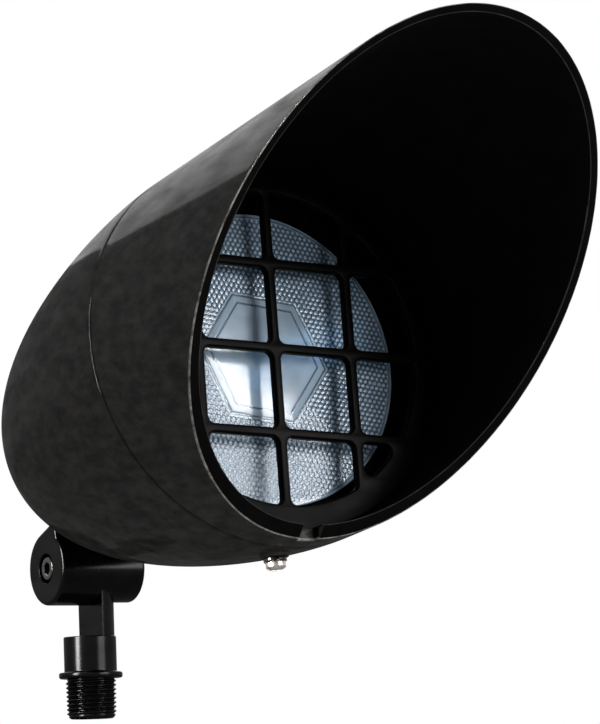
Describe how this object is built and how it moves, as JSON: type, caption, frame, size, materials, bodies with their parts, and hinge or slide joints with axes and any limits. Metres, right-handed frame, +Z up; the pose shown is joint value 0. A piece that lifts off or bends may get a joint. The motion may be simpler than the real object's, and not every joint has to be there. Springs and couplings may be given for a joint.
{
  "type": "hooded floodlight",
  "caption": "Outdoor bullet floodlight with oblique hood, rock guard and reflector lamp, on a tilting knuckle with threaded nipple.",
  "frame": {"origin": "on the nipple's axis, in the plane where its flange seats", "axes": "+Z up the stem, hinge of the knuckle along X, lamp looking towards -Y"},
  "size_m": [0.1628, 0.3371, 0.2486],
  "materials": {
    "casting": "satin black powder coat on cast aluminium",
    "arm_paint": "gloss black coat on cast aluminium",
    "guard_paint": "satin black coat on cast aluminium",
    "rubber": "matt black",
    "stainless": "turned stainless steel",
    "zinc": "bright zinc plate",
    "lens_glass": "pressed and stippled",
    "mirror_glass": "aluminised inside",
    "frosted": "frosted",
    "base_metal": "bright rolled shell",
    "black_glass": "gloss",
    "solder": "dull solder",
    "porcelain": "glazed",
    "brass": "bright",
    "lead_black": "black insulation",
    "lead_white": "white insulation",
    "lead_green": "green insulation"
  },
  "bodies": {
    "stem": {"knuckle_arm": "arm_paint", "knuckle_o_ring": "rubber", "hinge_screw": "stainless", "hinge_washer": "stainless"},
    "head": {"rear_housing": "casting", "front_hood": "casting", "rock_guard": "guard_paint", "guard_screw_1": "stainless", "guard_screw_2": "stainless", "guard_screw_3": "stainless", "hood_o_ring": "rubber", "hood_lock_screw": "stainless", "hood_lock_washer": "stainless", "lamp_collar": "rubber", "lamp_lens": "lens_glass", "lamp_reflector": "mirror_glass", "lamp_capsule": "frosted", "lamp_base_shell": "base_metal", "lamp_base_insulator": "black_glass", "lamp_base_contact": "solder", "socket_body": "porcelain", "socket_shell": "brass", "socket_contact": "brass", "socket_bracket": "zinc", "bracket_screw_1": "zinc", "bracket_screw_2": "zinc", "socket_screw_1": "zinc", "socket_screw_2": "zinc", "ground_screw": "brass", "ground_terminal": "zinc", "lead_black": "lead_black", "lead_white": "lead_white", "lead_green": "lead_green", "wireway_grommet": "rubber"}
  },
  "joints": [
    {"name": "knuckle_tilt", "type": "hinge", "parent": "stem", "child": "head", "pos_m": [0, 0, 0.0459], "axis": [-1, 0, 0], "range_deg": [-69.3, 80.7]}
  ]
}
